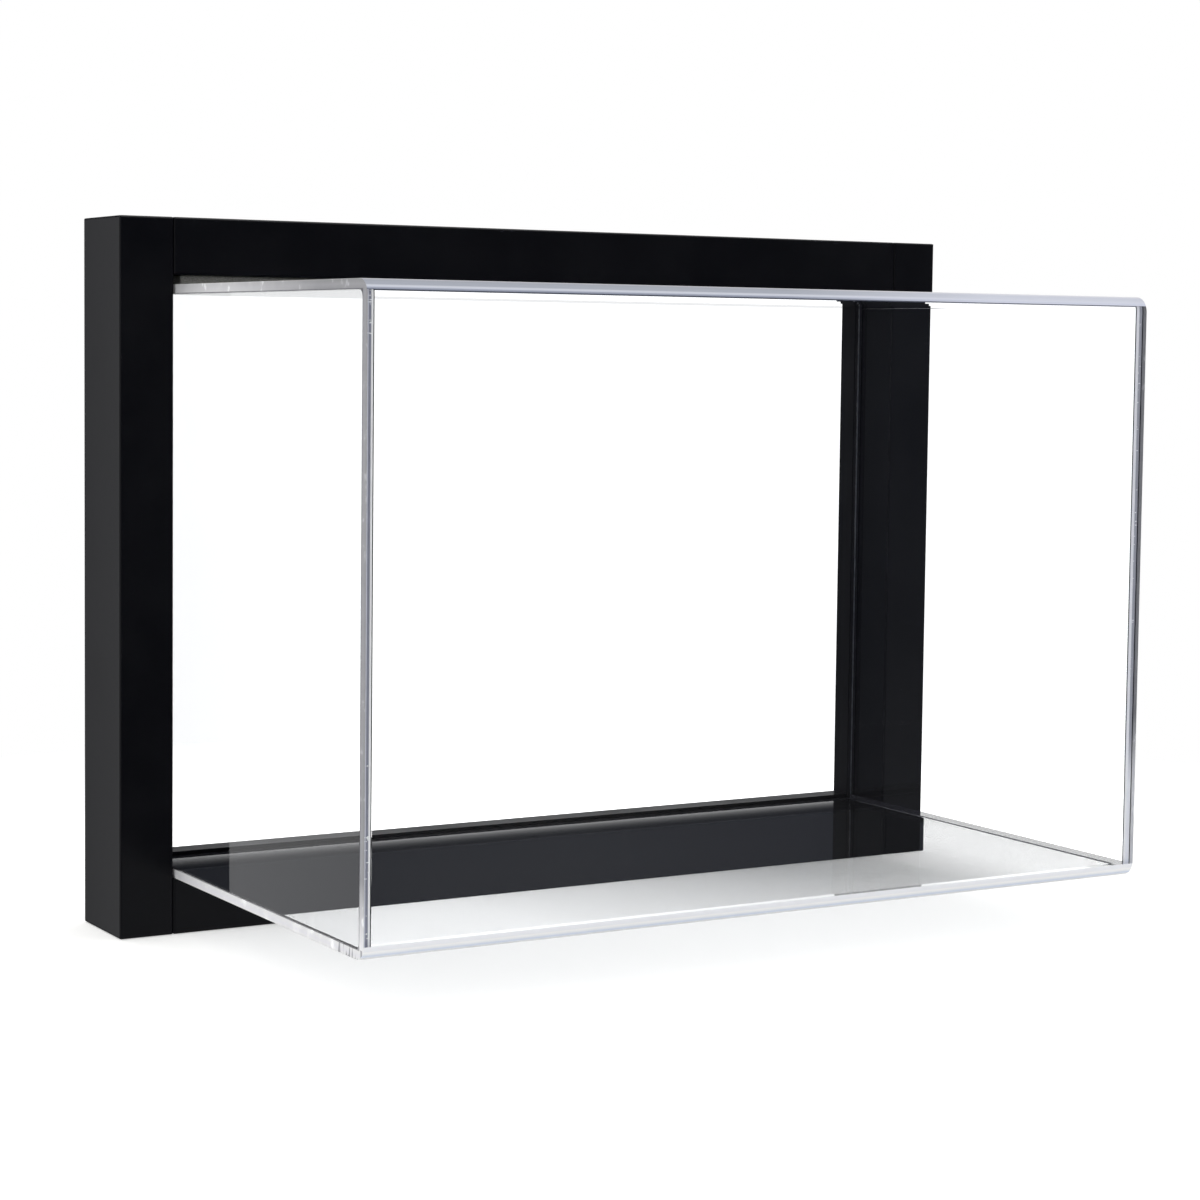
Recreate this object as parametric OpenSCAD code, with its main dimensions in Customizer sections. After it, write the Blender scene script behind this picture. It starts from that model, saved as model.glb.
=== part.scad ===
// Wall-hung display case for a baseball glove: a black wooden frame, and a clear
// five-sided cover that slides forward out of it.
// Millimetres. X points right, Y towards the wall and Z up. The origin lies in the
// wall plane, midway between the entry holes of the two keyhole hangers.

/* [Frame] */
// Overall width of the frame
frame_w = 413; // [300:1:600]
// Overall height of the frame
frame_h = 298; // [220:1:450]
// Depth of the bars, from the wall to their front faces
frame_d = 42; // [40:1:60]
// Width of each bar's front face
bar_face = 23.5; // [20:0.5:40]
// Rounding of the bars' edges
edge_r = 1; // [0.4:0.1:2]
// Rounding of the rails' ends, which leaves a fine line at each joint
end_r = 1; // [0.2:0.1:1.5]

/* [Corner dowels] */
// Diameter of a dowel
dowel_d = 8; // [5:0.5:10]
// Length of a dowel inside the stile
dowel_in_stile = 15; // [8:0.5:18]
// Length of a dowel inside the rail
dowel_in_rail = 20; // [10:0.5:40]
// Distance between the two dowels of a joint
dowel_pitch = 18; // [14:0.5:22]
// Radial room around a dowel, filled by glue
dowel_fit = 0.05; // [0.02:0.01:0.1]
// Free depth beyond each end of a dowel
dowel_end_room = 1; // [0.5:0.1:1.5]

/* [Cover] */
// Thickness of the clear sheet
sheet = 4; // [2.5:0.5:6]
// How far the cover stands out in front of the frame
cover_reach = 180; // [100:1:260]
// How far the cover goes into the frame
cover_insert = 23; // [16:1:25]
// Outer radius of the two bends
bend_r = 6.5; // [6.5:0.5:12]
// Room between each end of the cover and the stile
side_clear = 1; // [0.3:0.1:2]
// Room between the cover and the top rail, which the grip strip fills
top_gap = 4; // [2:0.5:8]
// Film of cement between the wrap and each end panel
weld_gap = 0.05; // [0.02:0.01:0.1]

/* [Grip strip] */
// Room between the grip strip and the cover
grip_clear = 0.1; // [0.05:0.05:0.5]
// How far the strip lies behind the frame's front face
grip_setback = 8; // [3:0.5:9]
// How far the strip stops short of the cover's rear edge
grip_back_room = 3; // [1:0.5:5]
// How far each end of the strip stops short of the stile
grip_end_room = 6; // [2:1:30]

/* [Cover stops] */
// Depth of the stop beads, along the cover's slide
stop_d = 5; // [3:0.5:11]
// How far the side stops reach in behind the cover's rear edge
side_catch = 2; // [1:0.5:2.5]
// How far the top stop reaches down behind the cover's rear edge
top_catch = 0.5; // [0.5:0.5:2.5]

/* [Back] */
// Thickness of the clear back panel
panel_t = 3; // [2:0.5:5]
// Room around the edge of the back panel
panel_clear = 0.5; // [0.2:0.1:1]
// Width of the two side back beads
side_bead_w = 2; // [1.5:0.5:12]
// Height of the bottom back bead
low_bead_h = 5.5; // [4:0.5:12]
// Height of the top back bead
top_bead_h = 4.5; // [4:0.5:12]

/* [Brads] */
// Diameter of a brad
brad_d = 1.2; // [0.8:0.1:1.6]
// Length of a brad inside the bar
brad_grip = 9; // [6:0.5:12]
// Radial room around a brad
brad_fit = 0.03; // [0.01:0.01:0.08]
// How far a brad is sunk below the face of its bead
brad_set = 0.5; // [0.2:0.1:1]
// Distance from the corner of the opening to the first brad
brad_inset = 60; // [30:1:80]

/* [Hangers] */
// Height of the keyhole entries below the top of the frame
hang_drop = 50; // [45:1:90]
// Width of a keyhole plate
plate_w = 16; // [13:0.5:18]
// Thickness of a keyhole plate
plate_t = 1.8; // [1.2:0.1:2.4]
// Corner radius of a keyhole plate
plate_r = 3; // [1:0.5:6]
// Room between a plate and its recess
plate_clear = 0.15; // [0.05:0.05:0.4]
// Diameter of the keyhole's entry hole
entry_d = 9; // [8:0.5:10]
// Width of the keyhole's slot
slot_w = 4.5; // [3.5:0.5:5]
// Rise of the slot above the entry's centre
slot_rise = 11; // [8:0.5:16]
// Room for the wall screw's head around the keyhole
head_room = 1; // [0.5:0.1:1.5]
// Depth of the pocket behind the plate
pocket_d = 7; // [5:0.5:8]

/* [Hanger screws] */
// Shank diameter of a hanger screw
screw_d = 3; // [2.5:0.1:3.5]
// Head diameter of a hanger screw
screw_head_d = 6; // [5:0.1:7]
// Height of the countersunk head
screw_head_h = 1.5; // [1:0.1:1.8]
// Length of a hanger screw
screw_l = 14; // [10:0.5:18]
// Radial room around a hanger screw
screw_fit = 0.05; // [0.02:0.01:0.1]
// Distance from the keyhole to a screw's centre
screw_gap = 8; // [7:0.5:10]
// Distance from a screw's centre to the end of the plate
screw_margin = 6.5; // [5:0.5:9]
// Width of the cross recess in a screw's head
cross_w = 0.8; // [0.5:0.1:1]
// Span of the cross recess in a screw's head
cross_span = 3.4; // [2.5:0.1:4]
// Depth of the cross recess in a screw's head
cross_d = 0.7; // [0.4:0.1:0.9]

/* [Hidden] */
$fn = 48;
// Overshoot of every cut, so that no cut ends flush with a face
over = 1;

// Planes of the frame
z_top = hang_drop;
z_bot = hang_drop - frame_h;
z_mid = (z_top + z_bot) / 2;
y_front = -frame_d;
stile_x = (frame_w - bar_face) / 2;

// The opening between the bars
open_w = frame_w - 2 * bar_face;
open_h = frame_h - 2 * bar_face;
open_z0 = z_bot + bar_face;
open_z1 = z_top - bar_face;

// The cover stands on the bottom rail
cover_w = open_w - 2 * side_clear;
cover_h = open_h - top_gap;
cover_d = cover_reach + cover_insert;
cover_y0 = y_front - cover_reach;
cover_y1 = y_front + cover_insert;

// Behind the cover lie the stops, the back panel and the back beads
panel_y0 = cover_y1 + stop_d;
bead_y0 = panel_y0 + panel_t;
bead_d = -bead_y0;
stop_side = side_clear + side_catch;
stop_low = sheet;
stop_high = top_gap + top_catch;

// Width of the grip strip, along the cover's slide
grip_w = cover_insert - grip_setback - grip_back_room;

// Keyhole plate, measured from the entry's centre
slot_top = slot_rise + slot_w / 2;
screw_z = [-entry_d / 2 - screw_gap, slot_top + screw_gap];
plate_z0 = screw_z[0] - screw_margin;
plate_z1 = screw_z[1] + screw_margin;

wood_black = "#17181a";
clear_sheet = [0.86, 0.94, 0.97, 0.35];
sponge_grey = "#82827c";
beech = "#c9a877";
zinc = "#b9bcc0";

// Flat rectangle centred on the origin, with round corners
module round_rect(w, h, r) {
    square([w - 2 * r, h], center = true);
    square([w, h - 2 * r], center = true);
    for (x = [-1, 1], y = [-1, 1])
        translate([x * (w / 2 - r), y * (h / 2 - r)]) circle(r);
}

// Bar centred on the origin: long edges and end edges have radii of their own
module bar(size, long_r, short_r, along) {
    rx = along == "x" ? long_r : short_r;
    rz = along == "z" ? long_r : short_r;
    intersection() {
        rotate([90, 0, 90]) linear_extrude(size[0], center = true)
            round_rect(size[1], size[2], rx);
        rotate([90, 0, 0]) linear_extrude(size[1], center = true)
            round_rect(size[0], size[2], short_r);
        linear_extrude(size[2], center = true)
            round_rect(size[0], size[1], rz);
    }
}

// Cylinder along X that runs from x0 to x1
module rod_x(x0, x1, d) {
    translate([x0, 0, 0]) rotate([0, 90, 0]) cylinder(h = x1 - x0, d = d);
}

// Cylinder along Z that runs from z0 to z1
module rod_z(z0, z1, d) {
    translate([0, 0, z0]) cylinder(h = z1 - z0, d = d);
}

// Dowels of the right-hand end of a rail at height z. grow is added to the diameter,
// and room to both ends.
module dowel_pair(z, grow = 0, room = 0) {
    for (side = [-1, 1])
        translate([0, y_front / 2 + side * dowel_pitch / 2, z])
            rod_x(open_w / 2 - dowel_in_rail - room, open_w / 2 + dowel_in_stile + room, dowel_d + grow);
}

// All the dowels of the frame
module dowels(grow = 0, room = 0) {
    for (turn = [0, 1], z = [z_top - bar_face / 2, z_bot + bar_face / 2])
        mirror([turn, 0, 0]) dowel_pair(z, grow, room);
}

// Brads of one ring of beads. The three faces say how far the beads stand in from the bars
// at the sides, the bottom and the top, and y is the depth of the brads.
module brad_ring(face_side, face_low, face_high, y, grow = 0) {
    d = brad_d + grow;
    for (turn = [0, 1], z = [open_z0 + brad_inset, open_z1 - brad_inset])
        mirror([turn, 0, 0]) translate([0, y, z])
            rod_x(open_w / 2 - face_side + brad_set, open_w / 2 + brad_grip, d);
    for (x = [-open_w / 2 + brad_inset, 0, open_w / 2 - brad_inset]) translate([x, y, 0]) {
        rod_z(open_z0 - brad_grip, open_z0 + face_low - brad_set, d);
        rod_z(open_z1 - face_high + brad_set, open_z1 + brad_grip, d);
    }
}

module stop_brad_ring(grow = 0) {
    brad_ring(stop_side, stop_low, stop_high, panel_y0 - stop_d / 2, grow);
}

module bead_brad_ring(grow = 0) {
    brad_ring(side_bead_w, low_bead_h, top_bead_h, bead_y0 + bead_d / 2, grow);
}

// Holes for every brad, a hair wider than the brads
module brad_holes() {
    stop_brad_ring(2 * brad_fit);
    bead_brad_ring(2 * brad_fit);
}

// Outline of a keyhole plate in the XZ plane
module plate_outline(grow = 0) {
    translate([0, (plate_z0 + plate_z1) / 2])
        round_rect(plate_w + 2 * grow, plate_z1 - plate_z0 + 2 * grow, plate_r + grow);
}

// Straight slot with round ends, from one height to another
module slot_outline(w, z0, z1) {
    translate([-w / 2, z0]) square([w, z1 - z0]);
    for (z = [z0, z1]) translate([0, z]) circle(d = w);
}

// Stands an outline up in the XZ plane and gives it depth, from y0 to y1
module upright(y0, y1) {
    translate([0, y1, 0]) rotate([90, 0, 0]) linear_extrude(y1 - y0) children();
}

// Countersunk screw along Y, with its head flush at Y = 0. grow widens it for a hole.
module screw(grow = 0) {
    rotate([90, 0, 0]) {
        cylinder(h = screw_head_h, d1 = screw_head_d + 2 * grow, d2 = screw_d + 2 * grow);
        cylinder(h = screw_l + grow, d = screw_d + 2 * grow);
    }
}

// Places something at the two screws of the hanger on one side
module at_screws(side) {
    for (z = screw_z) translate([side * stile_x, 0, z]) children();
}

// Everything that is cut into the back of a stile for its hanger
module hanger_cuts() {
    upright(-plate_t, over) plate_outline(plate_clear);
    upright(-plate_t - pocket_d, 0) slot_outline(entry_d + 2 * head_room, 0, slot_rise);
    for (z = screw_z) translate([0, 0, z]) screw(screw_fit);
}

module stile(side) {
    color(wood_black) difference() {
        translate([side * stile_x, y_front / 2, z_mid])
            bar([bar_face, frame_d, frame_h], edge_r, edge_r, "z");
        dowels(2 * dowel_fit, dowel_end_room);
        brad_holes();
        translate([side * stile_x, 0, 0]) hanger_cuts();
    }
}

module rail(z) {
    color(wood_black) difference() {
        translate([0, y_front / 2, z])
            bar([open_w, frame_d, bar_face], edge_r, end_r, "x");
        dowels(2 * dowel_fit, dowel_end_room);
        brad_holes();
    }
}

module left_stile() { stile(-1); }
module right_stile() { stile(1); }
module top_rail() { rail(z_top - bar_face / 2); }
module bottom_rail() { rail(z_bot + bar_face / 2); }
module corner_dowels() { color(beech) dowels(); }

// Bead that lies along a rail, from height z0 up, h tall and from y0 on, d deep
module long_bead(z0, h, y0, d) {
    color(wood_black) difference() {
        translate([-open_w / 2, y0, z0]) cube([open_w, d, h]);
        brad_holes();
    }
}

// Bead that lies along a stile, w wide, between the long beads
module short_bead(side, w, z0, z1, y0, d) {
    x0 = side < 0 ? -open_w / 2 : open_w / 2 - w;
    color(wood_black) difference() {
        translate([x0, y0, z0]) cube([w, d, z1 - z0]);
        brad_holes();
    }
}

module cover_stop_bottom() { long_bead(open_z0, stop_low, cover_y1, stop_d); }
module cover_stop_top() { long_bead(open_z1 - stop_high, stop_high, cover_y1, stop_d); }
module cover_stop_side(side) {
    short_bead(side, stop_side, open_z0 + stop_low, open_z1 - stop_high, cover_y1, stop_d);
}
module cover_stop_left() { cover_stop_side(-1); }
module cover_stop_right() { cover_stop_side(1); }

module back_bead_bottom() { long_bead(open_z0, low_bead_h, bead_y0, bead_d); }
module back_bead_top() { long_bead(open_z1 - top_bead_h, top_bead_h, bead_y0, bead_d); }
module back_bead_side(side) {
    short_bead(side, side_bead_w, open_z0 + low_bead_h, open_z1 - top_bead_h, bead_y0, bead_d);
}
module back_bead_left() { back_bead_side(-1); }
module back_bead_right() { back_bead_side(1); }

module stop_brads() { color(zinc) stop_brad_ring(); }
module bead_brads() { color(zinc) bead_brad_ring(); }

module back_panel() {
    color(clear_sheet)
        translate([-open_w / 2 + panel_clear, panel_y0, open_z0 + panel_clear])
            cube([open_w - 2 * panel_clear, panel_t, open_h - 2 * panel_clear]);
}

// Keyhole plate, flush with the back of its stile
module hanger(side) {
    color(zinc) difference() {
        translate([side * stile_x, 0, 0]) difference() {
            upright(-plate_t, 0) plate_outline();
            upright(-plate_t - over, over) {
                circle(d = entry_d);
                slot_outline(slot_w, 0, slot_rise);
            }
        }
        at_screws(side) screw(screw_fit);
    }
}

module left_hanger() { hanger(-1); }
module right_hanger() { hanger(1); }

module hanger_screws() {
    color(zinc) for (side = [-1, 1]) at_screws(side) difference() {
        screw();
        for (turn = [0, 90]) rotate([0, turn, 0])
            translate([-cross_span / 2, -cross_d, -cross_w / 2])
                cube([cross_span, cross_d + over, cross_w]);
    }
}

// Sponge strip glued under the top rail, which holds the cover by its grip
module grip_strip() {
    color(sponge_grey)
        translate([-open_w / 2 + grip_end_room, y_front + grip_setback, open_z1 - top_gap + grip_clear])
            cube([open_w - 2 * grip_end_room, grip_w, top_gap - grip_clear]);
}

// Side view of the cover's nose: a rectangle whose two front corners are round.
// It starts at the origin and runs d deep and h high.
module nose(d, h, r) {
    translate([r, 0]) square([d - r, h]);
    translate([0, r]) square([d, h - 2 * r]);
    for (z = [r, h - r]) translate([r, z]) circle(r);
}

// Extrudes a side view along X, from x0 to x1
module across(x0, x1) {
    translate([x0, 0, 0]) rotate([90, 0, 90]) linear_extrude(x1 - x0) children();
}

// Top, front and bottom of the cover, bent from one sheet
module cover_wrap() {
    color(clear_sheet) translate([0, cover_y0, open_z0])
        across(-cover_w / 2, cover_w / 2) difference() {
            nose(cover_d, cover_h, bend_r);
            translate([sheet, sheet])
                nose(cover_d, cover_h - 2 * sheet, bend_r - sheet);
        }
}

// End panel, welded between the wrap's legs
module cover_end(side) {
    inset = sheet + weld_gap;
    x0 = side < 0 ? -cover_w / 2 : cover_w / 2 - sheet;
    color(clear_sheet) translate([0, cover_y0 + inset, open_z0 + inset])
        across(x0, x0 + sheet)
            nose(cover_d - inset, cover_h - 2 * inset, bend_r - sheet);
}

module cover_left_end() { cover_end(-1); }
module cover_right_end() { cover_end(1); }

left_stile();
right_stile();
top_rail();
bottom_rail();
corner_dowels();
cover_stop_left();
cover_stop_right();
cover_stop_top();
cover_stop_bottom();
stop_brads();
back_panel();
back_bead_left();
back_bead_right();
back_bead_top();
back_bead_bottom();
bead_brads();
left_hanger();
right_hanger();
hanger_screws();
grip_strip();
cover_wrap();
cover_left_end();
cover_right_end();
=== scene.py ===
# %% [markdown]
# # A wall-hung display case for a baseball glove
#
# The case is a satin-black wooden frame with a clear acrylic cover that stands out in front of it.
# The construction comes from the CAD model, and this script gives every piece its finish.
# Metres, +X right, +Y into the wall, +Z up, with the origin between the two keyhole hangers.

import math
import random

import bmesh
import bpy
from mathutils import Matrix, Vector


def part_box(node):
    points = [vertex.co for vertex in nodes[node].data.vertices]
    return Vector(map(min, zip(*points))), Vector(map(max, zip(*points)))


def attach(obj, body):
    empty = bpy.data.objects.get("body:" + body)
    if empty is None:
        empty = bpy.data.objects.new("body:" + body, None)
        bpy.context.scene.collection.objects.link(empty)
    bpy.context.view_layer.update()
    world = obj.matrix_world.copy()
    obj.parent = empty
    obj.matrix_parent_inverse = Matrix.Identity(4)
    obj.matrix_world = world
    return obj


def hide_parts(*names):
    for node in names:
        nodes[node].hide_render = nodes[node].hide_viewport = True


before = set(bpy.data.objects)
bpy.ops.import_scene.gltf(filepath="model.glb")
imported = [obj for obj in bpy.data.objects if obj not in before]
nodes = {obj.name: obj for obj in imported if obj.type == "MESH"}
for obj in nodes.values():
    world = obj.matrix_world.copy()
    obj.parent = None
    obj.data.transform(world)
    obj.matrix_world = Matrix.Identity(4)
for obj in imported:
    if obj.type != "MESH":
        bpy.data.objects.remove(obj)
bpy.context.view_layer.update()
scene = bpy.context.scene
scene.view_settings.view_transform = "Standard"
MM = 0.001
print("CAD nodes:", len(nodes))

# %% [markdown]
# ## The camera
#
# A photograph taken from nearby shows how its lines run together, and a camera that is fitted to
# those lines sees the object as the photographer did. The camera here stands to the left, about
# 1.2 m away, and looks slightly down. A camera is turned in three steps: it starts looking straight
# down, is tipped up to the horizon, and is then swung round to the object.

# %% Camera
CAMERA_PLACE = Vector((-0.6172, -1.1217, -0.0006))
CAMERA_SWING = math.radians(-30.617)
CAMERA_TIP = math.radians(90 - 4.039)
CAMERA_ROLL = math.radians(0.677)
CAMERA_LENS_MM = 83.7
CAMERA_SENSOR_MM = 36.0
CAMERA_SHIFT_UP = -0.0479

camera_data = bpy.data.cameras.new("photo_camera")
camera_data.lens = CAMERA_LENS_MM
camera_data.sensor_width = CAMERA_SENSOR_MM
camera_data.shift_y = CAMERA_SHIFT_UP
camera = bpy.data.objects.new("photo_camera", camera_data)
camera.matrix_world = (
    Matrix.Translation(CAMERA_PLACE)
    @ Matrix.Rotation(CAMERA_SWING, 4, "Z")
    @ Matrix.Rotation(CAMERA_TIP, 4, "X")
    @ Matrix.Rotation(CAMERA_ROLL, 4, "Z")
)
scene.collection.objects.link(camera)
scene.camera = camera
print("camera at", [round(v, 3) for v in CAMERA_PLACE])

# %% [markdown]
# ## Helpers for node materials
#
# Every material starts from one Principled shader. Short helpers make it, add a node to it, and set a
# socket or join another one to it.


# %% Node helpers
def set_inputs(node, values):
    """Puts plain values on the inputs named."""
    for key, value in values.items():
        node.inputs[key].default_value = value


def new_finish(name, values=None):
    """A material with one Principled shader. Returns the material, its node tree and that shader."""
    material = bpy.data.materials.new(name)
    material.use_nodes = True
    tree = material.node_tree
    shader = tree.nodes["Principled BSDF"]
    set_inputs(shader, values or {})
    return material, tree, shader


def add_node(tree, kind, inputs=None, **settings):
    """A new node with its settings, and with plain values on the inputs named."""
    made = tree.nodes.new(kind)
    for key, value in settings.items():
        setattr(made, key, value)
    set_inputs(made, inputs or {})
    return made


def feed(tree, socket, value):
    """Sets a socket to a number or a colour, or joins another socket to it."""
    if isinstance(value, (int, float)):
        socket.default_value = value
    elif isinstance(value, tuple):
        socket.default_value = (*value, 1)
    else:
        tree.links.new(value, socket)


print("node helpers ready")

# %% [markdown]
# ## Helpers for patterns
#
# A pattern is a grey value that changes from place to place. Here it is a noise texture or one of the
# three coordinates, and a row of colours turns it into paint. All patterns read Object coordinates, in
# metres, so that they stay on their piece when it moves.


# %% Pattern helpers
def object_place(tree):
    """Object coordinates, in metres."""
    return add_node(tree, "ShaderNodeTexCoord").outputs["Object"]


def object_axis(tree, axis):
    """One of the three object coordinates, in metres."""
    split = add_node(tree, "ShaderNodeSeparateXYZ")
    tree.links.new(object_place(tree), split.inputs["Vector"])
    return split.outputs[axis]


def noise(tree, scale, stretch=(1, 1, 1), detail=3.0, roughness=0.5):
    """A noise texture, its coordinates multiplied by three factors. Returns its grey value."""
    mapping = add_node(tree, "ShaderNodeMapping", {"Scale": stretch})
    tree.links.new(object_place(tree), mapping.inputs["Vector"])
    values = {"Scale": scale, "Detail": detail, "Roughness": roughness}
    texture = add_node(tree, "ShaderNodeTexNoise", values)
    tree.links.new(mapping.outputs["Vector"], texture.inputs["Vector"])
    return texture.outputs["Fac"]


def spread(tree, value, low, high, low_in=0.3, high_in=0.7):
    """Maps a grey value from low_in..high_in to low..high, and holds it between the two."""
    ends = {"From Min": low_in, "From Max": high_in, "To Min": low, "To Max": high}
    made = add_node(tree, "ShaderNodeMapRange", ends)
    tree.links.new(value, made.inputs["Value"])
    return made.outputs["Result"]


def calculate(tree, operation, first, second):
    """One step of arithmetic on two sockets or numbers."""
    made = add_node(tree, "ShaderNodeMath", operation=operation)
    feed(tree, made.inputs[0], first)
    feed(tree, made.inputs[1], second)
    return made.outputs[0]


def bands(tree, value, colours):
    """A row of colours, given as (place from 0 to 1, colour), read at a grey value."""
    ramp = add_node(tree, "ShaderNodeValToRGB")
    row = ramp.color_ramp.elements
    while len(row) < len(colours):
        row.new(1.0)
    for element, (place, colour) in zip(row, colours):
        element.position = place
        element.color = (*colour, 1)
    tree.links.new(value, ramp.inputs["Fac"])
    return ramp.outputs["Color"]


def blend_colours(tree, value, first, second):
    """Two colours mixed by a noise, whose grey stays mostly between 0.3 and 0.7."""
    return bands(tree, value, [(0.3, first), (0.7, second)])


def mix_colours(tree, factor, first, second, blend="MIX"):
    """Goes from the first colour to the second by a grey value. Each is a socket or three numbers."""
    made = add_node(tree, "ShaderNodeMix", data_type="RGBA", blend_type=blend)
    feed(tree, made.inputs["Factor"], factor)
    colour_inputs = [s for s in made.inputs if s.type == "RGBA"]
    feed(tree, colour_inputs[0], first)
    feed(tree, colour_inputs[1], second)
    return next(s for s in made.outputs if s.type == "RGBA")


def paint(tree, shader, colour):
    """Joins a colour to the shader's base."""
    tree.links.new(colour, shader.inputs["Base Color"])


def bump(tree, shader, height, depth_m, strength):
    """Joins a height pattern to the shader's normal."""
    made = add_node(tree, "ShaderNodeBump", {"Strength": strength, "Distance": depth_m})
    tree.links.new(height, made.inputs["Height"])
    tree.links.new(made.outputs["Normal"], shader.inputs["Normal"])


print("pattern helpers ready")

# %% [markdown]
# ## The world
#
# A clear cover has almost no colour of its own: it shows what is around it, so the surroundings are
# part of its finish. The world is white where the camera looks at it, directly or through the acrylic,
# up to some height, and dimmer overhead, which draws the sheet's edges. Through the acrylic it is a
# little brighter, to make up for what the panes throw back. Light on matt surfaces is plain and soft.

# %% World: axes and plain light
WHITE = (1, 1, 1)
BACKDROP_EDGE = (0.42, 0.67)
SEEN_THROUGH = 1.33
OVERHEAD_TINT = (0.42, 0.47, 0.56)
FILL_LIGHT = 0.95

world = bpy.data.worlds.new("studio")
scene.world = world
world.use_nodes = True
sky = world.node_tree
sky.nodes.clear()
look = add_node(sky, "ShaderNodeTexCoord")
axes = add_node(sky, "ShaderNodeSeparateXYZ")
sky.links.new(look.outputs["Generated"], axes.inputs["Vector"])
rightward, backward, upward = (axes.outputs[axis] for axis in "XYZ")
height_up = spread(sky, upward, 0, 1, *BACKDROP_EDGE)
seen_through = blend_colours(sky, height_up, (SEEN_THROUGH,) * 3, OVERHEAD_TINT)
print("world:", world.name)

# %% [markdown]
# ## White cards in the gloss
#
# Mirrored in the gloss, the world is a dim studio, so the black stays black. A photographer sets white
# cards round a shiny object, and their mirror images draw its edges. Four cards do that here: one low
# down behind the case on the right, one overhead, one on the left, and the white table in front. They
# draw thin lines on the rounded edges and a pale band on the bottom rail. A card has no mesh: it is a
# range of directions, and most of its edges are given by how steeply a direction rises or swings.

# %% World: cards
STUDIO_BEHIND = (0.03, 0.032, 0.04)
STUDIO_FRONT = (0.05, 0.053, 0.066)
STUDIO_TURN = (-0.3, 0.3)
LEAST_RUN = 0.001
LOW_CARD_TOP = (0.1992, 0.2045)
LOW_CARD_SOFTNESS = 3
LOW_CARD_FOOT = (-0.08, -0.06)
LOW_CARD_SIDE = (0.0, 0.1)
OVERHEAD_CARD_WHITE = 0.6
OVERHEAD_CARD_EDGE = (0.55, 0.7)
LEFT_CARD_WHITE = 0.5
LEFT_CARD_EDGE = (-0.85, -0.7)
FRONT_TABLE_WHITE = 0.85
FRONT_TABLE_FALL = (-0.215, -0.12)
FRONT_TABLE_SIDES = ((0.2, 1, 0.42, 0.5), (1, 0.2, 0.58, 0.74))
FRONT_TABLE_DEPTH = (-0.2, -0.1)

studio = blend_colours(sky, spread(sky, backward, 0, 1, *STUDIO_TURN), STUDIO_FRONT, STUDIO_BEHIND)
rise = calculate(sky, "DIVIDE", upward, calculate(sky, "MAXIMUM", backward, LEAST_RUN))
cards = calculate(sky, "POWER", spread(sky, rise, 1, 0, *LOW_CARD_TOP), LOW_CARD_SOFTNESS)
cards = calculate(sky, "MULTIPLY", cards, spread(sky, rise, 0, 1, *LOW_CARD_FOOT))
for way in (rightward, backward):
    cards = calculate(sky, "MULTIPLY", cards, spread(sky, way, 0, 1, *LOW_CARD_SIDE))

overhead_card = spread(sky, upward, 0, OVERHEAD_CARD_WHITE, *OVERHEAD_CARD_EDGE)
left_card = spread(sky, rightward, LEFT_CARD_WHITE, 0, *LEFT_CARD_EDGE)

forward = calculate(sky, "MAXIMUM", calculate(sky, "MULTIPLY", backward, -1), LEAST_RUN)
fall = calculate(sky, "DIVIDE", upward, forward)
swing = calculate(sky, "DIVIDE", rightward, forward)
front_table = spread(sky, fall, FRONT_TABLE_WHITE, 0, *FRONT_TABLE_FALL)
for ends in FRONT_TABLE_SIDES:
    front_table = calculate(sky, "MULTIPLY", front_table, spread(sky, swing, *ends))
in_front = spread(sky, backward, 1, 0, *FRONT_TABLE_DEPTH)
front_table = calculate(sky, "MULTIPLY", front_table, in_front)

for card in (overhead_card, left_card, front_table):
    cards = calculate(sky, "MAXIMUM", cards, card)
mirrored = mix_colours(sky, cards, studio, WHITE)
print("cards: 4")

# %% [markdown]
# ## Which world a ray sees
#
# The Light Path node tells what has happened to a ray so far. A ray straight from the camera sees white,
# one that has been mirrored sees the studio with its cards, one that came through the acrylic sees the
# bright backdrop, and all others carry the plain light.

# %% World: choice by ray
ONCE = 0.5
rays = add_node(sky, "ShaderNodeLightPath").outputs
bounced = calculate(sky, "GREATER_THAN", rays["Glossy Depth"], ONCE)
shown = mix_colours(sky, rays["Is Transmission Ray"], (FILL_LIGHT,) * 3, seen_through)
shown = mix_colours(sky, bounced, shown, mirrored)
shown = mix_colours(sky, rays["Is Camera Ray"], shown, WHITE)
background = add_node(sky, "ShaderNodeBackground")
sky_output = add_node(sky, "ShaderNodeOutputWorld")
sky.links.new(shown, background.inputs["Color"])
sky.links.new(background.outputs["Background"], sky_output.inputs["Surface"])
print("world nodes:", len(sky.nodes))

# %% [markdown]
# ## The floor
#
# The case is photographed on a white table. The table is a disc just under the frame that fades into
# the white of the world, so that its rim never shows. Near the case it is matt and takes a shadow, with
# a little glow of its own to keep it white. Seen through the cover its glow is turned down on the right,
# where the right stile stands: a painted shade, fixed on the table.

# %% Floor mesh
FLOOR_RADIUS = 1.6
FLOOR_SEGMENTS = 96
FLOOR_GAP = 0.2 * MM

floor_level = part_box("bottom_rail")[0].z - FLOOR_GAP
bm = bmesh.new()
bmesh.ops.create_circle(bm, cap_ends=True, segments=FLOOR_SEGMENTS, radius=FLOOR_RADIUS)
bmesh.ops.translate(bm, verts=bm.verts, vec=(0, 0, floor_level))
floor_mesh = bpy.data.meshes.new("floor")
bm.to_mesh(floor_mesh)
bm.free()
floor = bpy.data.objects.new("floor", floor_mesh)
scene.collection.objects.link(floor)
floor.visible_glossy = False
print("floor at", round(floor_level, 4))

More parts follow.
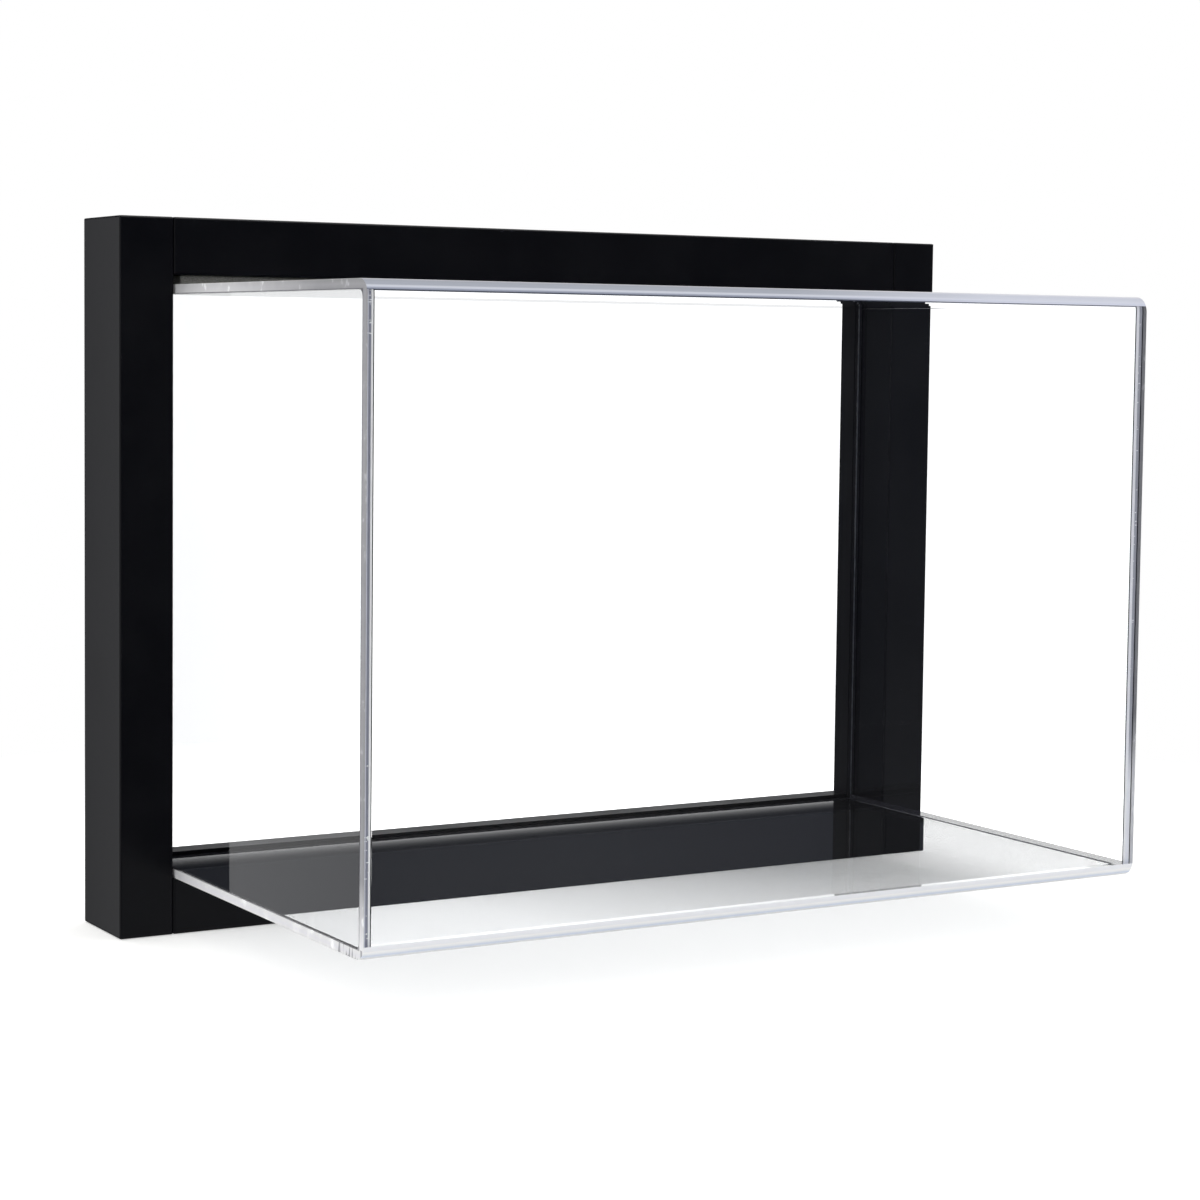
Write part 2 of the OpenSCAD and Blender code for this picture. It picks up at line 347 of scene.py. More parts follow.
# %% Floor finish
FLOOR_WHITE = (0.86, 0.86, 0.85)
FLOOR_GLOW_TINT = (1, 1, 0.99)
FLOOR_GLOW = 0.4
FLOOR_GLOW_THROUGH = 1.4
# FLOOR_GLOW_SHADED and the SHADE numbers set a painted shade on the table, seen through the cover.
FLOOR_GLOW_SHADED = 0.5
SHADE_MIDDLE = (0.16, -0.04)
SHADE_REACH = (0.04, 0.22)
SHADE_END = (0.17, 0.225)
FLOOR_MIDDLE = (0, -0.12)
FLOOR_FADE = (0.28, 0.6)

floor_white, tree, shader = new_finish("white_table")
tree.nodes.remove(shader)
floor_rays = add_node(tree, "ShaderNodeLightPath").outputs


def emission(colour):
    """A glow of one colour."""
    return add_node(tree, "ShaderNodeEmission", {"Color": (*colour, 1)})


def distance_from(x, y):
    """How far a place on the table is from a point on it."""
    made = add_node(tree, "ShaderNodeVectorMath", {1: (x, y, floor_level)}, operation="DISTANCE")
    tree.links.new(object_place(tree), made.inputs[0])
    return made.outputs["Value"]


def mix_shaders(factor, first, second):
    """One shader fading into another."""
    made = add_node(tree, "ShaderNodeMixShader")
    tree.links.new(factor, made.inputs["Fac"])
    tree.links.new(first.outputs[0], made.inputs[1])
    tree.links.new(second.outputs[0], made.inputs[2])
    return made


through = floor_rays["Is Transmission Ray"]
glow_seen = calculate(tree, "MULTIPLY", floor_rays["Is Camera Ray"], FLOOR_GLOW)
# Painted shade: the glow seen through the cover is turned down round SHADE_MIDDLE, near the right stile's
# foot, and back up past the case's right end.
shade = (FLOOR_GLOW_SHADED, FLOOR_GLOW_THROUGH)
out_of_shade = spread(tree, distance_from(*SHADE_MIDDLE), *shade, *SHADE_REACH)
past_case = spread(tree, object_axis(tree, "X"), *shade, *SHADE_END)
glow_through = calculate(tree, "MAXIMUM", out_of_shade, past_case)
glow_through = calculate(tree, "MULTIPLY", through, glow_through)
glow = emission(FLOOR_GLOW_TINT)
tree.links.new(calculate(tree, "MAXIMUM", glow_seen, glow_through), glow.inputs["Strength"])
matt = add_node(tree, "ShaderNodeBsdfDiffuse", {"Color": (*FLOOR_WHITE, 1)})
near_table = add_node(tree, "ShaderNodeAddShader")
tree.links.new(matt.outputs[0], near_table.inputs[0])
tree.links.new(glow.outputs[0], near_table.inputs[1])

far_table = emission(WHITE)
tree.links.new(spread(tree, through, 1, SEEN_THROUGH, 0, 1), far_table.inputs["Strength"])
fade = spread(tree, distance_from(*FLOOR_MIDDLE), 0, 1, *FLOOR_FADE)
table = mix_shaders(fade, near_table, far_table)
in_mirror = calculate(tree, "GREATER_THAN", floor_rays["Glossy Depth"], ONCE)
table = mix_shaders(in_mirror, table, emission(STUDIO_BEHIND))
tree.links.new(table.outputs[0], tree.nodes["Material Output"].inputs["Surface"])
floor_mesh.materials.append(floor_white)
print("floor finish:", floor_white.name)

# %% [markdown]
# ## The lamps
#
# Two flat lamps, one overhead and one behind on the left, give the soft light of a studio. The left one
# also draws the sheen on the frame's left side. Neither is seen by the camera or through the acrylic.


# %% Lamps
def soft_lamp(name, place, aim, size, radiance):
    """A flat lamp that looks evenly bright: its power is radiance times pi times its area."""
    data = bpy.data.lights.new(name, "AREA")
    data.shape = "RECTANGLE"
    data.size, data.size_y = size
    data.energy = radiance * math.pi * size[0] * size[1]
    lamp = bpy.data.objects.new(name, data)
    lamp.location = place
    lamp.rotation_euler = (Vector(aim) - Vector(place)).to_track_quat("-Z", "Y").to_euler()
    lamp.visible_camera = False
    lamp.visible_transmission = False
    scene.collection.objects.link(lamp)
    return lamp


overhead = soft_lamp(
    "overhead_lamp", place=(0.25, -0.15, 1.1), aim=(0, -0.1, -0.2), size=(1.2, 1.0), radiance=1.1
)
left_panel = soft_lamp(
    "left_panel_lamp", place=(-0.62, 0.5, -0.2), aim=(-0.2, -0.1, -0.2), size=(0.36, 1.3), radiance=0.78
)
print("lamps:", overhead.name, left_panel.name)

# %% [markdown]
# ## Satin black lacquer
#
# The bars are sprayed with black lacquer and rubbed to a satin sheen. Close to, the sheen is not quite
# even: the spray leaves soft clouds, and the wood's grain lies faintly under the film. The grain runs
# along each bar, so the noise is stretched along X for the rails and along Z for the stiles.

# %% Lacquer
LACQUER_BLACK = (0.0013, 0.0014, 0.0028)
LACQUER_CLOUD = (0.0031, 0.0033, 0.0052)
LACQUER_SHEEN = 0.3
LACQUER_ROUGHNESS = (0.28, 0.36)
LACQUER_RELIEF = 0.02 * MM
GRAIN_STRETCH = 0.06
UPRIGHT = (
    "left_stile", "right_stile", "cover_stop_left", "cover_stop_right", "back_bead_left", "back_bead_right",
)
ACROSS = (
    "top_rail", "bottom_rail", "cover_stop_top", "cover_stop_bottom", "back_bead_top", "back_bead_bottom",
)


def satin_lacquer(name, along):
    """Satin black lacquer over wood whose grain runs along the axis given."""
    material, tree, shader = new_finish(name, {"Specular IOR Level": LACQUER_SHEEN})
    stretch = [1.0, 1.0, 1.0]
    stretch["XYZ".index(along)] = GRAIN_STRETCH
    grain = noise(tree, scale=900, stretch=stretch, detail=4)
    clouds = noise(tree, scale=28, detail=4, roughness=0.6)
    peel = noise(tree, scale=700, detail=1)
    paint(tree, shader, blend_colours(tree, clouds, LACQUER_BLACK, LACQUER_CLOUD))
    tree.links.new(spread(tree, clouds, *LACQUER_ROUGHNESS), shader.inputs["Roughness"])
    bump(tree, shader, calculate(tree, "ADD", grain, peel), LACQUER_RELIEF, strength=0.05)
    return material


def finish_nodes(names, material):
    """Gives CAD nodes their material."""
    for name in names:
        mesh = nodes[name].data
        mesh.materials.clear()
        mesh.materials.append(material)


finish_nodes(UPRIGHT, satin_lacquer("satin_black_upright", "Z"))
finish_nodes(ACROSS, satin_lacquer("satin_black_across", "X"))
print("lacquered nodes:", len(UPRIGHT + ACROSS))

# %% [markdown]
# ## Clear acrylic
#
# Acrylic bends light like glass, with an index of 1.49, and has a trace of blue that shows only along
# the edges, where light has come a long way through the sheet. A faint absorbing volume does that
# better than a blue surface, which would tint the flat sheet as well.

# %% Acrylic
ACRYLIC_INDEX = 1.49
ACRYLIC_TINT = (0.62, 0.8, 1.0)
ACRYLIC_DENSITY = 6.0
ACRYLIC_GLARE = (0.3, 0.3, 0.3)

acrylic, tree, shader = new_finish("clear_acrylic", {
    "Base Color": (*WHITE, 1),
    "Roughness": 0.0,
    "IOR": ACRYLIC_INDEX,
    "Transmission Weight": 1.0,
    "Specular Tint": (*ACRYLIC_GLARE, 1),
})
tint = {"Color": (*ACRYLIC_TINT, 1), "Density": ACRYLIC_DENSITY}
depth = add_node(tree, "ShaderNodeVolumeAbsorption", tint)
tree.links.new(depth.outputs["Volume"], tree.nodes["Material Output"].inputs["Volume"])
finish_nodes(("back_panel",), acrylic)
nodes["back_panel"].visible_shadow = False
print("acrylic index", ACRYLIC_INDEX)

# %% [markdown]
# ## Sawn edges
#
# The flat sheet is clear, but three places on the cover show: the wrap's sawn edges, flame-polished to
# a pale satin; the two heat-bent corners, whose pale blue lines are light; and the cement between the wrap
# and the end panels, a grey-blue film with small bubbles. Light that runs inside the sheet comes out
# there in bands, and each finish paints those bands of light and shade as a row of colours laid across
# the edge, the bend or the film.
#
# The sawn edge comes first. Its bands are read from the distance to the sheet's outer face. They are
# painted light and shade: grey high up, paler towards the frame, and white low down, a painted glow of
# the table's light, which reaches higher on the right side. Near the lower front corner a few marks of
# the saw are left.

# %% Sawn edge
wrap_low, wrap_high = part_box("cover_wrap")
end_low, end_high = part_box("cover_left_end")
SHEET = end_high.x - end_low.x
EDGE_SHEEN = 0.2
# Painted light and shade across the sawn edge: rows for high up at the front, high up near the frame, and
# low down, where the white stands for the table's light.
UPPER_FRONT_LIGHT_BANDS = [
    (0.0, (0.56, 0.56, 0.56)), (0.08, (0.31, 0.31, 0.32)), (0.5, (0.37, 0.37, 0.39)),
    (0.86, (0.34, 0.34, 0.36)), (0.97, (0.12, 0.12, 0.14)),
]
UPPER_REAR_LIGHT_BANDS = [
    (0.0, (0.82, 0.82, 0.82)), (0.08, (0.7, 0.7, 0.71)), (0.5, (0.74, 0.74, 0.76)),
    (0.86, (0.82, 0.82, 0.83)), (0.97, (0.12, 0.12, 0.14)),
]
LOWER_TABLE_LIGHT_BANDS = [
    (0.0, (0.6, 0.6, 0.62)), (0.07, (1, 1, 1)), (0.4, (0.96, 0.96, 1)),
    (0.88, (1, 1, 1)), (0.97, (0.4, 0.4, 0.43)),
]
FRONT_TO_REAR = (0.04, 0.14)
LOWER_TO_UPPER = (0.006, 0.03)
RIGHT_SIDE_LIGHT_LIFT = 0.04
SAW_MARK_TONES = [(0.5, (1, 1, 1)), (0.58, (0.45, 0.45, 0.47))]
SAW_MARK_REACH = (0.02, 0.035)
SAW_MARK_HEIGHT = (0.004, 0.006)
SCUFF_TONES = [(0.3, (0.93, 0.93, 0.94)), (0.6, (1, 1, 1)), (0.68, (1.5, 1.5, 1.5))]


def pale_finish(name, roughness, through):
    """The start of an edge finish: satin acrylic that lets some light through."""
    return new_finish(name, {
        "Roughness": roughness,
        "IOR": ACRYLIC_INDEX,
        "Transmission Weight": through,
        "Specular IOR Level": EDGE_SHEEN,
    })


sawn_edge_light_and_marks, tree, shader = pale_finish("acrylic_sawn_edge_painted_light", roughness=0.3, through=0.1)
height = object_axis(tree, "Z")
from_top = calculate(tree, "SUBTRACT", wrap_high.z, height)
from_bottom = calculate(tree, "SUBTRACT", height, wrap_low.z)
from_front = calculate(tree, "SUBTRACT", object_axis(tree, "Y"), wrap_low.y)
nearest = calculate(tree, "MINIMUM", calculate(tree, "MINIMUM", from_top, from_bottom), from_front)
across = calculate(tree, "DIVIDE", nearest, SHEET)
upper_front, upper_rear, lower = (
    bands(tree, across, row) for row in (UPPER_FRONT_LIGHT_BANDS, UPPER_REAR_LIGHT_BANDS, LOWER_TABLE_LIGHT_BANDS)
)
upper = mix_colours(tree, spread(tree, from_front, 0, 1, *FRONT_TO_REAR), upper_front, upper_rear)
# On the right the painted table light reaches further up the edge.
on_right = calculate(tree, "GREATER_THAN", object_axis(tree, "X"), 0)
lift = calculate(tree, "MULTIPLY", on_right, RIGHT_SIDE_LIGHT_LIFT)
rise_ends = [wrap_low.z + reach for reach in LOWER_TO_UPPER]
rise = spread(tree, calculate(tree, "SUBTRACT", height, lift), 0, 1, *rise_ends)
tone = mix_colours(tree, rise, lower, upper)
marks = noise(tree, scale=420, stretch=(0.05, 1, 0.3), detail=1)
for value, ends in ((from_front, SAW_MARK_REACH), (from_bottom, SAW_MARK_HEIGHT)):
    marks = calculate(tree, "MULTIPLY", marks, spread(tree, value, 1, 0, *ends))
tone = mix_colours(tree, 1.0, tone, bands(tree, marks, SAW_MARK_TONES), blend="MULTIPLY")
scuffs = noise(tree, scale=160, detail=4, roughness=0.6)
tone = mix_colours(tree, 1.0, tone, bands(tree, scuffs, SCUFF_TONES), blend="MULTIPLY")
paint(tree, shader, tone)
print("sheet", round(SHEET / MM, 2), "mm, edge finish:", sawn_edge_light_and_marks.name)

# %% [markdown]
# ## Bends and rear edge
#
# A bend's bands are painted light and shade. They run along it and change slowly from left to right,
# paler on the top bend's right, and the bottom bend is near white, a painted glow of the table's light.
# They are read from the depth below or above the sheet's outer face, in thicknesses of the sheet. The
# cover's rear edge is sawn too, but it sits in the dark of the frame, so it is a plain mottled grey,
# dark enough to paint the shade it sits in.

# %% Bend and rear edge finishes
BEND_TURN = (0.0, 0.1)
# Painted light and shade along the bends: the top bend paler on the right, the bottom bend near white for
# the table's light.
TOP_LEFT_LIGHT_BANDS = [
    (0.0, (0.62, 0.62, 0.64)), (0.1, (0.36, 0.37, 0.42)), (0.2, (0.31, 0.33, 0.38)),
    (0.52, (0.34, 0.36, 0.42)), (0.62, (0.56, 0.58, 0.64)), (0.76, (0.54, 0.57, 0.66)),
    (0.82, (0.33, 0.35, 0.43)), (0.9, (0.3, 0.33, 0.42)), (1.0, (0.08, 0.09, 0.12)),
]
TOP_RIGHT_LIGHT_BANDS = [
    (0.0, (0.86, 0.86, 0.88)), (0.12, (0.61, 0.62, 0.69)), (0.25, (0.53, 0.55, 0.63)),
    (0.6, (0.59, 0.61, 0.69)), (0.72, (0.63, 0.65, 0.75)), (0.85, (0.56, 0.59, 0.7)),
    (0.92, (0.69, 0.72, 0.83)), (1.0, (0.14, 0.15, 0.2)),
]
BOTTOM_TABLE_LIGHT_BANDS = [
    (0.0, (0.85, 0.86, 0.88)), (0.1, (1, 1, 1)), (0.3, (0.92, 0.95, 1)), (0.45, (0.74, 0.81, 0.96)),
    (0.65, (0.92, 0.95, 1)), (0.85, (1, 1, 1)), (1.0, (0.9, 0.91, 0.95)),
]
REAR_EDGE_SHADED_GREYS = ((0.12, 0.13, 0.155), (0.2, 0.215, 0.24))


def heat_bend(name, level, toward, left_colours, right_colours):
    """A heat-bent corner, with painted bands of light and shade along it. level is the height of the
    sheet's outer face.
    """
    material, tree, shader = pale_finish(name, roughness=0.4, through=0.05)
    depth = calculate(tree, "SUBTRACT", object_axis(tree, "Z"), level)
    depth = calculate(tree, "MULTIPLY", depth, toward)
    across = calculate(tree, "DIVIDE", depth, SHEET)
    along = spread(tree, object_axis(tree, "X"), 0, 1, *BEND_TURN)
    left, right = (bands(tree, across, colours) for colours in (left_colours, right_colours))
    paint(tree, shader, mix_colours(tree, along, left, right))
    return material


top_bend = heat_bend("acrylic_top_bend", wrap_high.z, -1, TOP_LEFT_LIGHT_BANDS, TOP_RIGHT_LIGHT_BANDS)
bottom_bend = heat_bend("acrylic_bottom_bend", wrap_low.z, 1, BOTTOM_TABLE_LIGHT_BANDS, BOTTOM_TABLE_LIGHT_BANDS)
# The rear edge's mottled grey is kept dark: painted shade for the dark slot in the frame.
rear_edge, tree, shader = pale_finish("acrylic_rear_edge", roughness=0.3, through=0.1)
paint(tree, shader, blend_colours(tree, noise(tree, scale=400), *REAR_EDGE_SHADED_GREYS))
print("bend finishes:", top_bend.name, bottom_bend.name)

# %% [markdown]
# ## The cover
#
# The real cover is one sheet, bent twice round the top, front and bottom, with an end panel cemented
# into each open side. The cement makes it one piece of acrylic, so here it is one closed wall. Two
# boxes without a rear face, one inside the other, have their bends rounded by a bevel, and a bridge
# between their rear rims closes the wall.

# %% Cover wall
BEND_RADIUS = 6.5 * MM
INNER_RADIUS = 0.8 * MM
BEND_STEPS = 12
BEND_TILT = 0.02
LOW_STRIP = 5.3 * MM
CLEAR, EDGE, TOP_BEND, BOTTOM_BEND, REAR_EDGE = range(5)


def add_box(bm, low, high):
    """A box from corner to corner. Returns its vertices."""
    made = bmesh.ops.create_cube(bm, size=1.0)["verts"]
    bmesh.ops.scale(bm, vec=high - low, verts=made)
    bmesh.ops.translate(bm, vec=(low + high) / 2, verts=made)
    return made


def round_edges(bm, edges, radius, steps):
    """Rounds edges with a bevel."""
    bmesh.ops.bevel(
        bm, geom=edges, offset=radius, offset_type="OFFSET", affect="EDGES",
        segments=steps, profile=0.5, material=-1,
    )


def open_box(bm, low, high, radius):
    """A box without its rear face, its two front edges along X rounded."""
    made = add_box(bm, low, high)
    near = radius / 10
    faces = {f for v in made for f in v.link_faces}
    rear = [f for f in faces if f.calc_center_median().y > high.y - near]
    bmesh.ops.delete(bm, geom=rear, context="FACES_ONLY")
    faces = {f for v in made for f in v.link_faces}
    edges = {e for f in faces for e in f.edges}
    front = [e for e in edges if all(v.co.y < low.y + near for v in e.verts)]
    bends = [e for e in front if abs(e.verts[0].co.x - e.verts[1].co.x) > radius]
    round_edges(bm, bends, radius, BEND_STEPS)


def in_a_bend(face):
    """Whether a face slants between the level sheets and the upright one."""
    face.normal_update()
    return min(abs(face.normal.y), abs(face.normal.z)) > BEND_TILT


bm = bmesh.new()
inner_low = wrap_low + Vector((SHEET, SHEET, SHEET))
inner_high = Vector((wrap_high.x - SHEET, wrap_high.y, wrap_high.z - SHEET))
open_box(bm, inner_low, inner_high, INNER_RADIUS)
inner = bm.faces[:]
bmesh.ops.reverse_faces(bm, faces=inner)
for face in inner:
    if in_a_bend(face):
        face.material_index = TOP_BEND if face.normal.z < 0 else BOTTOM_BEND
inner = set(inner)
open_box(bm, wrap_low, wrap_high, BEND_RADIUS)
outer = [f for f in bm.faces if f not in inner]
for face in outer:
    if in_a_bend(face):
        middle = face.calc_center_median()
        if middle.z > wrap_high.z - SHEET:
            face.material_index = TOP_BEND
        elif middle.z < wrap_low.z + LOW_STRIP:
            face.material_index = BOTTOM_BEND
rims = [e for e in bm.edges if e.is_boundary]
for face in bmesh.ops.bridge_loops(bm, edges=rims)["faces"]:
    face.material_index = REAR_EDGE
print("cover wall:", len(bm.faces), "faces")

# %% [markdown]
# ## Edges on the cover's sides
#
# An inset on each outer side marks the wrap's sawn edge, and a second, narrow inset pressed in a little
# makes the hairline round the end panel. Three cuts then part the flat panel from its rounded corners,
# which keeps its faces simple. A narrow Bevel modifier breaks the sharp edges, as polishing does.

# %% Cover sides
HAIRLINE = 0.12 * MM
HAIRLINE_DEPTH = 0.08 * MM
CUT_REACH = 0.001 * MM
SIDEWAYS = 0.9


def border(face, thickness, depth=0.0):
    """Insets one face. Returns the new faces round it."""
    made = bmesh.ops.inset_individual(
        bm, faces=[face], thickness=thickness, depth=depth, use_even_offset=True
    )
    return made["faces"]


flat = BEND_RADIUS + HAIRLINE
cuts = [((0, wrap_low.y + flat, 0), (0, 1, 0))]
cuts += [((0, 0, z), (0, 0, 1)) for z in (wrap_low.z + flat, wrap_high.z - flat)]
for side in [f for f in outer if abs(f.normal.x) > SIDEWAYS]:
    for face in border(side, SHEET - HAIRLINE):
        if face.calc_center_median().y < wrap_high.y - SHEET:
            face.material_index = EDGE
    border(side, HAIRLINE, -HAIRLINE_DEPTH)
    border(side, HAIRLINE, HAIRLINE_DEPTH)
    pieces = [side]
    for place, normal in cuts:
        geometry = set(pieces)
        geometry |= {e for f in pieces for e in f.edges} | {v for f in pieces for v in f.verts}
        done = bmesh.ops.bisect_plane(
            bm, geom=list(geometry), plane_co=place, plane_no=normal, dist=CUT_REACH
        )
        pieces = [g for g in done["geom"] if isinstance(g, bmesh.types.BMFace)]
print("cover with its edges:", len(bm.faces), "faces")

# %% Cover as a piece
POLISHED_ARRIS = 0.25 * MM
ARRIS_STEPS = 2
ARRIS_ANGLE = math.radians(60)


def new_piece(name, bm, materials, body):
    """Turns a bmesh into a piece of the object that rides on a body."""
    mesh = bpy.data.meshes.new(name)
    bm.to_mesh(mesh)
    bm.free()
    piece = bpy.data.objects.new(name, mesh)
    scene.collection.objects.link(piece)
    for material in materials:
        mesh.materials.append(material)
    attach(piece, body)
    return piece


cover_finishes = (acrylic, sawn_edge_light_and_marks, top_bend, bottom_bend, rear_edge)
cover = new_piece("cover", bm, cover_finishes, "cover")
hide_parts("cover_wrap", "cover_left_end", "cover_right_end")
arris = cover.modifiers.new("polished_arris", "BEVEL")
arris.width = POLISHED_ARRIS
arris.segments = ARRIS_STEPS
arris.limit_method = "ANGLE"
arris.angle_limit = ARRIS_ANGLE
cover.visible_shadow = False
print("cover finishes:", len(cover_finishes))

# %% [markdown]
# ## Cement and bubbles
#
# The film lies between each end panel and the wrap: behind the front sheet, under the top sheet and on
# the bottom sheet. Each stretch is a slab thinner than paper. The upright films' bands are partly the
# cement's grey-blue and partly painted light and shade, and low down on the right they are near white,
# a painted glow of the table's light. On the right some cement has crept up the foot of the end panel.
# The level films only tint what is behind them. Small bubbles stay in the upright welds, and each is a
# flattened ball, painted pearly white for the glint of an air bubble.

# %% Cement finishes
FOOT_TURN = (0.04, 0.06)
CEMENT_ROUGHNESS = 0.3
CEMENT_ALPHA = 0.9
TINT_ALPHA = 0.46
TINT_COLOURS = ((0.012, 0.012, 0.016), (0.02, 0.02, 0.028))
BUBBLE_GLINT_COLOURS = ((0.85, 0.86, 0.88), (0.97, 0.97, 0.98))
# Bands across the upright films: partly the cement's grey-blue, partly painted light and shade; the right
# foot's near-white bands paint the table's light.
CEMENT_AND_LIGHT_BANDS = {
    "left": [
        (0.0, (0.8, 0.81, 0.9)), (0.36, (0.86, 0.87, 0.96)), (0.42, (0.3, 0.31, 0.38)),
        (0.7, (0.26, 0.27, 0.34)), (0.78, (1, 1, 1)),
    ],
    "right": [
        (0.0, (0.7, 0.71, 0.8)), (0.12, (0.95, 0.95, 1.0)), (0.45, (0.95, 0.95, 1.0)),
        (0.52, (0.5, 0.51, 0.58)), (0.62, (0.42, 0.43, 0.5)), (0.85, (0.46, 0.47, 0.54)),
        (1.0, (0.34, 0.35, 0.4)),
    ],
}
FOOT_CEMENT_AND_LIGHT_BANDS = {
    "left": CEMENT_AND_LIGHT_BANDS["left"],
    "right": [
        (0.0, (0.75, 0.76, 0.86)), (0.1, (1, 1, 1)), (0.5, (0.93, 0.94, 1.0)), (1.0, (0.95, 0.95, 1.0)),
    ],
}


def cement_film(name, low_x, high_x, foot_colours, colours):
    """Dried cement: a thin film that lets a little light through, with bands across it that are partly its
    grey-blue and partly painted light and shade.
    """
    values = {"Roughness": CEMENT_ROUGHNESS, "Alpha": CEMENT_ALPHA}
    material, tree, shader = new_finish(name, values)
    across = spread(tree, object_axis(tree, "X"), 0, 1, low_x, high_x)
    foot_ends = [wrap_low.z + reach for reach in FOOT_TURN]
    rise = spread(tree, object_axis(tree, "Z"), 0, 1, *foot_ends)
    foot, main = (bands(tree, across, row) for row in (foot_colours, colours))
    paint(tree, shader, mix_colours(tree, rise, foot, main))
    return material


# The bubbles are opaque and pearly white: a painted glint, in place of the silver an air bubble throws
# back.
bubble_glint_paint, tree, shader = new_finish("cement_bubbles", {"Roughness": 0.2})
paint(tree, shader, blend_colours(tree, noise(tree, scale=900), *BUBBLE_GLINT_COLOURS))
tint_values = {"Roughness": 0.5, "Specular IOR Level": 0.1, "Alpha": TINT_ALPHA}
tinted_cement, tree, shader = new_finish("acrylic_cement_tint", tint_values)
streaks = noise(tree, scale=400, stretch=(1, 0.1, 1))
paint(tree, shader, blend_colours(tree, streaks, *TINT_COLOURS))
print("cement finishes:", bubble_glint_paint.name, tinted_cement.name)

# %% Cement
FILM = 0.05 * MM
FILM_ROOM = 0.4 * MM
FOOT_HEIGHT = 2.6 * MM
BUBBLES = 26
BUBBLE_SEED = 7
BUBBLE_SIZE = (0.15 * MM, 0.4 * MM)
BUBBLE_FORM = (1.6, 0.3, 0.7)
BUBBLE_BAND = (0.45, 0.8)
BUBBLY_STRETCHES = {"left": [(0.0, 0.3), (0.93, 1.0)], "right": [(0.3, 1.0)]}

random.seed(BUBBLE_SEED)
weld_front = wrap_low.y + SHEET
level_front = weld_front + 2 * FILM
rear_y = wrap_high.y - FILM_ROOM
low_z = wrap_low.z + SHEET
high_z = wrap_high.z - SHEET
for side, name in ((-1, "left"), (1, "right")):
    outer_x = side * (wrap_high.x - FILM_ROOM)
    inner_x = side * (wrap_high.x - SHEET + FILM_ROOM)
    x0, x1 = sorted((outer_x, inner_x))
    bm = bmesh.new()
    add_box(bm, Vector((x0, weld_front, low_z)), Vector((x1, weld_front + FILM, high_z)))
    finish = cement_film("acrylic_cement_" + name, x0, x1, FOOT_CEMENT_AND_LIGHT_BANDS[name], CEMENT_AND_LIGHT_BANDS[name])
    upright_film = new_piece(name + "_cement", bm, (finish,), "cover")

    bm = bmesh.new()
    for z in (low_z, high_z):
        add_box(bm, Vector((x0, level_front, z - FILM / 2)), Vector((x1, rear_y, z + FILM / 2)))
    if name == "right":
        foot_x = x0 - FILM_ROOM / 2
        foot_end = Vector((foot_x, rear_y, low_z)) + Vector((FILM, 0, FOOT_HEIGHT))
        add_box(bm, Vector((foot_x, level_front, low_z)), foot_end)
    level_films = new_piece(name + "_lower_cement", bm, (tinted_cement,), "cover")

    bm = bmesh.new()
    band_low, band_high = (x0 + share * (x1 - x0) for share in BUBBLE_BAND)
    for _ in range(BUBBLES):
        stretch_low, stretch_high = random.choice(BUBBLY_STRETCHES[name])
        height = low_z + (high_z - low_z) * random.uniform(stretch_low, stretch_high)
        place = Vector((random.uniform(band_low, band_high), weld_front - FILM, height))
        ball = bmesh.ops.create_icosphere(bm, subdivisions=1, radius=1.0)["verts"]
        across = random.uniform(*BUBBLE_SIZE)
        bmesh.ops.scale(bm, vec=[across * factor for factor in BUBBLE_FORM], verts=ball)
        bmesh.ops.translate(bm, vec=place, verts=ball)
    bubbles = new_piece(name + "_bubbles", bm, (bubble_glint_paint,), "cover")
    for piece in (upright_film, level_films, bubbles):
        piece.visible_shadow = False
print("cement films and", 2 * BUBBLES, "bubbles")

# %% [markdown]
# ## The grip strip
#
# A strip of grey sponge under the top rail presses on the cover and holds it. It is soft, so its edges
# are round and its skin is pitted.

# %% Grip strip
SPONGE_GREYS = ((0.17, 0.17, 0.155), (0.28, 0.28, 0.26))
PIT_DEPTH = 0.3 * MM
STRIP_EDGE = 0.9 * MM
STRIP_STEPS = 3

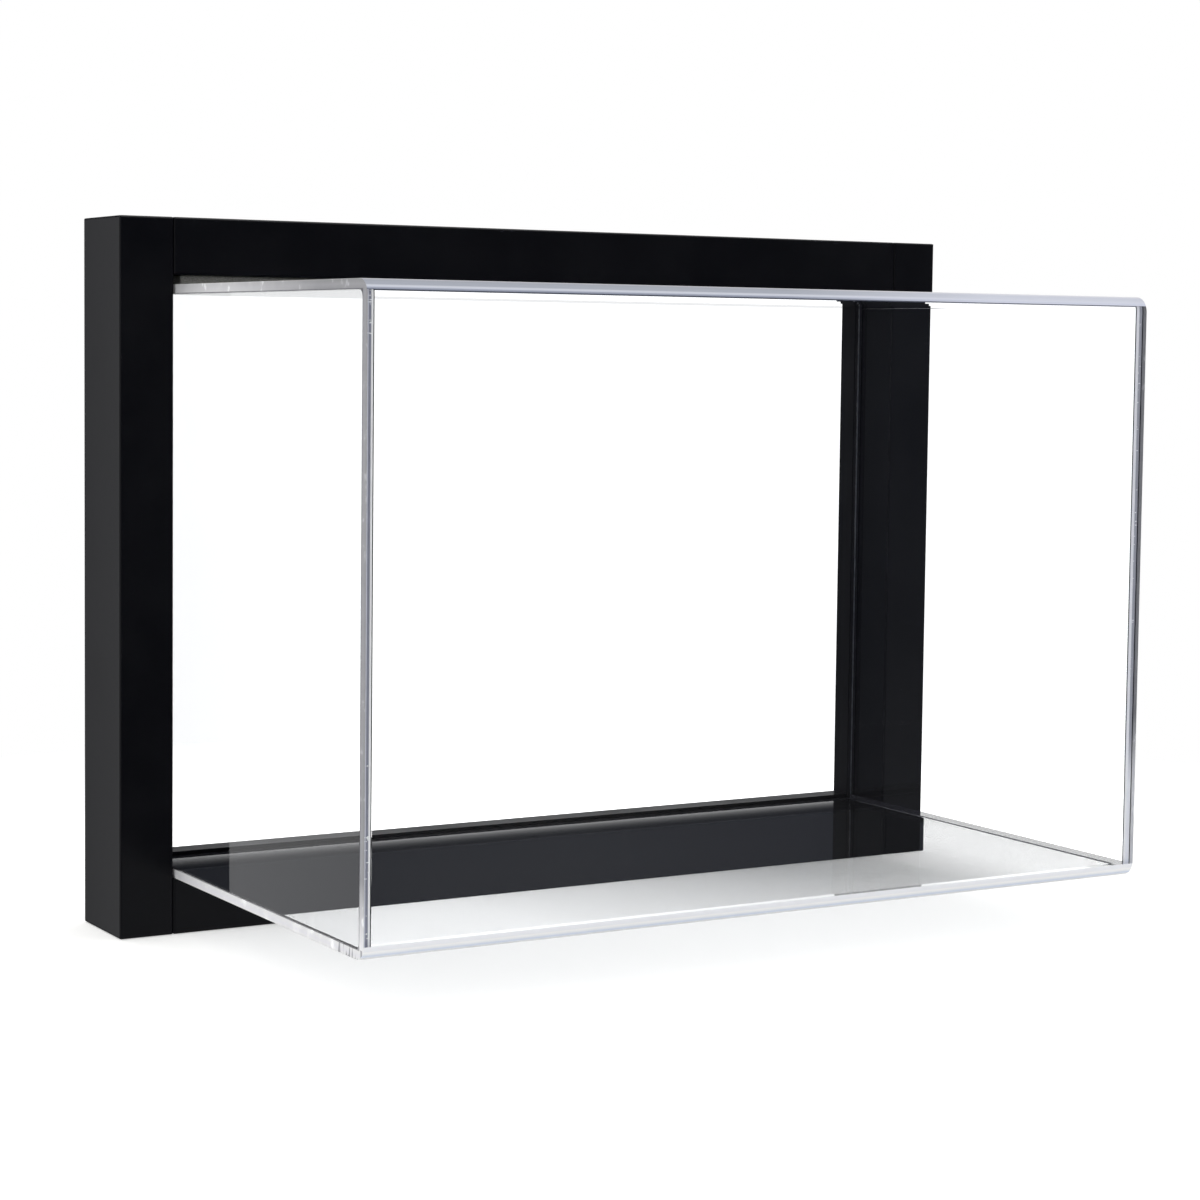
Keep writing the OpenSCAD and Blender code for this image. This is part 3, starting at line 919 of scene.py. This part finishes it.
sponge, tree, shader = new_finish("grey_sponge", {"Roughness": 0.9})
pits = noise(tree, scale=1500, detail=2)
paint(tree, shader, blend_colours(tree, pits, *SPONGE_GREYS))
bump(tree, shader, pits, PIT_DEPTH, strength=0.8)

bm = bmesh.new()
add_box(bm, *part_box("grip_strip"))
round_edges(bm, bm.edges[:], STRIP_EDGE, STRIP_STEPS)
strip = new_piece("sponge_strip", bm, (sponge,), "frame")
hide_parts("grip_strip")
print("grip strip:", len(strip.data.polygons), "faces")

# %% [markdown]
# ## Metal and bare wood
#
# The keyhole plates, their screws and the brads are zinc plated, a little cloudy, with fine scratches
# from tumbling. The plates and brads are grey. The screws have the yellow kind of zinc, so that their
# flush heads stand out from the plates. The dowels are bare beech.

# %% Metal and dowels
GREY_ZINC = ((0.42, 0.43, 0.45), (0.62, 0.63, 0.65))
YELLOW_ZINC = ((0.5, 0.4, 0.2), (0.72, 0.6, 0.34))
ZINC_ROUGHNESS = (0.28, 0.45)
SCRATCH_DEPTH = 0.01 * MM
BEECH = ((0.46, 0.28, 0.13), (0.62, 0.43, 0.24))


def zinc_plate(name, colours):
    """Zinc plating, cloudy between two colours."""
    material, tree, shader = new_finish(name, {"Metallic": 1.0})
    clouds = noise(tree, scale=260, detail=4)
    paint(tree, shader, blend_colours(tree, clouds, *colours))
    tree.links.new(spread(tree, clouds, *ZINC_ROUGHNESS), shader.inputs["Roughness"])
    scratches = noise(tree, scale=3000, stretch=(1, 1, 0.05), detail=2)
    bump(tree, shader, scratches, SCRATCH_DEPTH, strength=0.3)
    return material


grey_zinc = zinc_plate("grey_zinc", GREY_ZINC)
finish_nodes(("left_hanger", "right_hanger", "stop_brads", "bead_brads"), grey_zinc)
finish_nodes(("hanger_screws",), zinc_plate("yellow_zinc", YELLOW_ZINC))

beech, tree, shader = new_finish("bare_beech", {"Roughness": 0.7})
grain = noise(tree, scale=1200, stretch=(0.05, 1, 1), detail=4)
paint(tree, shader, blend_colours(tree, grain, *BEECH))
finish_nodes(("corner_dowels",), beech)
print("metal and dowels finished")
